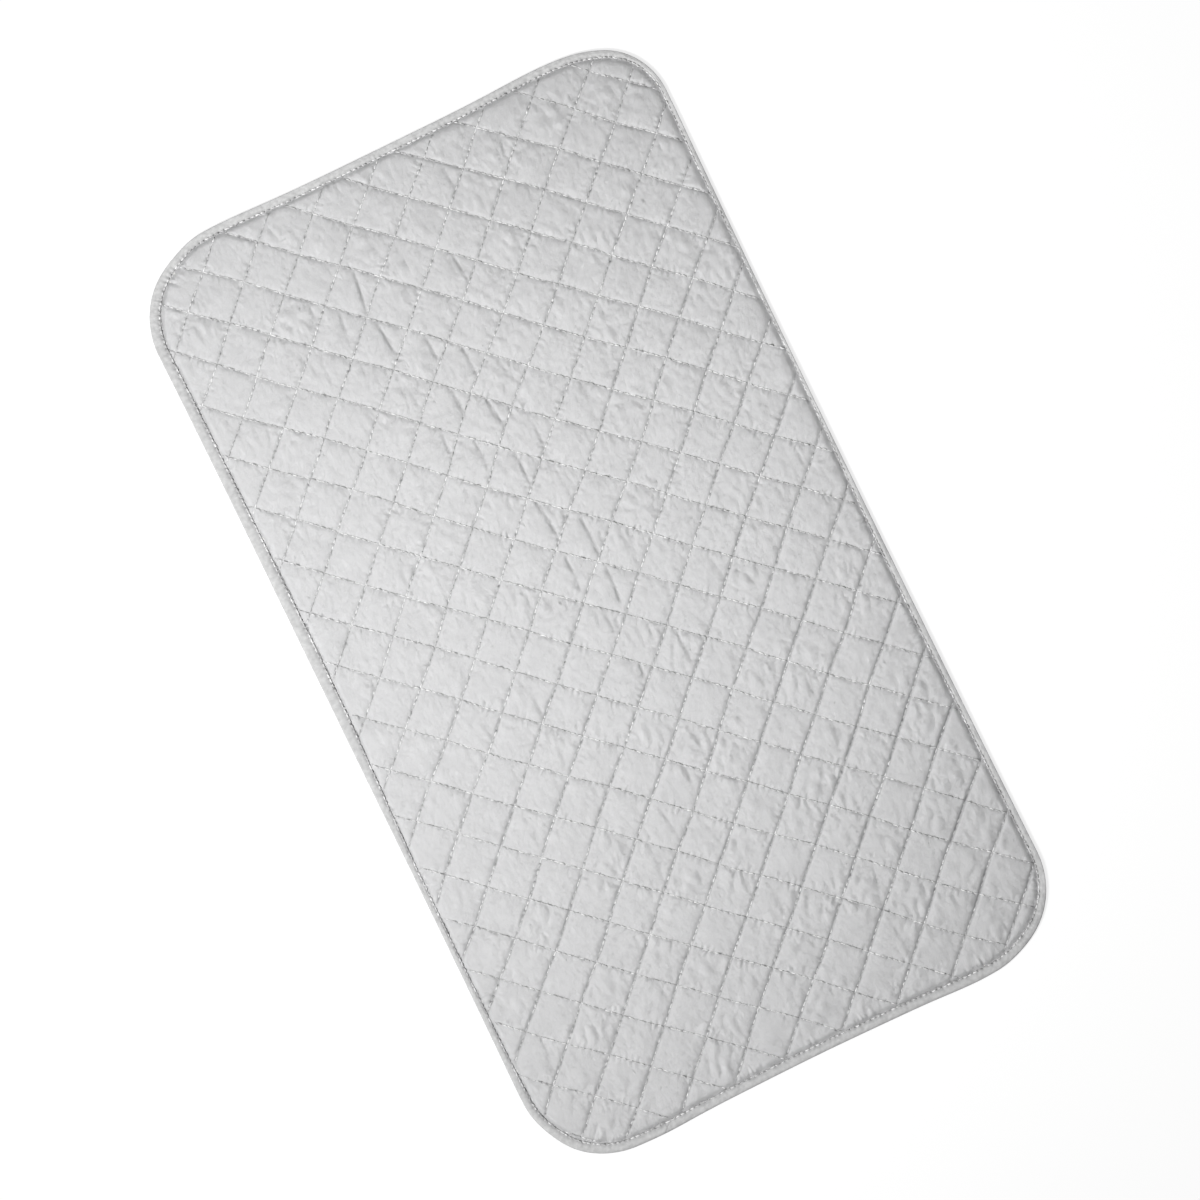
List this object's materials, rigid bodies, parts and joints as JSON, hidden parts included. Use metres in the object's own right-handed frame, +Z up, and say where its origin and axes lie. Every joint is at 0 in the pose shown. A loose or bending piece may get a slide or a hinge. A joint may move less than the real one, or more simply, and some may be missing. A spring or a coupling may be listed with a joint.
{
  "type": "ironing pad",
  "caption": "Flat rectangular quilted ironing pad with rounded corners, a silver-grey face sewn in diamonds and a tape-bound edge; it is laid on a table to iron on.",
  "frame": {"origin": "on the plane that the pad lies on, below the middle of its outline", "axes": "+X along the pad's length, +Y across it, +Z up out of the ironing face"},
  "size_m": [0.85, 0.48, 0.0057],
  "materials": {
    "face": "woven cloth with a silver-grey coating",
    "wadding": "soft white filling",
    "backing": "plain woven cloth",
    "binding": "folded woven tape",
    "thread": "sewing thread"
  },
  "bodies": {
    "root": {"backing_cloth": "backing", "binding_thread": "thread", "edge_binding": "binding", "face_cloth": "face", "quilt_row_a01": "thread", "quilt_row_a02": "thread", "quilt_row_a03": "thread", "quilt_row_a04": "thread", "quilt_row_a05": "thread", "quilt_row_a06": "thread", "quilt_row_a07": "thread", "quilt_row_a08": "thread", "quilt_row_a09": "thread", "quilt_row_a10": "thread", "quilt_row_a11": "thread", "quilt_row_a12": "thread", "quilt_row_a13": "thread", "quilt_row_a14": "thread", "quilt_row_a15": "thread", "quilt_row_a16": "thread", "quilt_row_a17": "thread", "quilt_row_a18": "thread", "quilt_row_a19": "thread", "quilt_row_a20": "thread", "quilt_row_a21": "thread", "quilt_row_a22": "thread", "quilt_row_a23": "thread", "quilt_row_a24": "thread", "quilt_row_b01": "thread", "quilt_row_b02": "thread", "quilt_row_b03": "thread", "quilt_row_b04": "thread", "quilt_row_b05": "thread", "quilt_row_b06": "thread", "quilt_row_b07": "thread", "quilt_row_b08": "thread", "quilt_row_b09": "thread", "quilt_row_b10": "thread", "quilt_row_b11": "thread", "quilt_row_b12": "thread", "quilt_row_b13": "thread", "quilt_row_b14": "thread", "quilt_row_b15": "thread", "quilt_row_b16": "thread", "quilt_row_b17": "thread", "quilt_row_b18": "thread", "quilt_row_b19": "thread", "quilt_row_b20": "thread", "quilt_row_b21": "thread", "quilt_row_b22": "thread", "quilt_row_b23": "thread", "quilt_row_b24": "thread", "quilt_row_b25": "thread", "wadding": "wadding"}
  },
  "joints": []
}
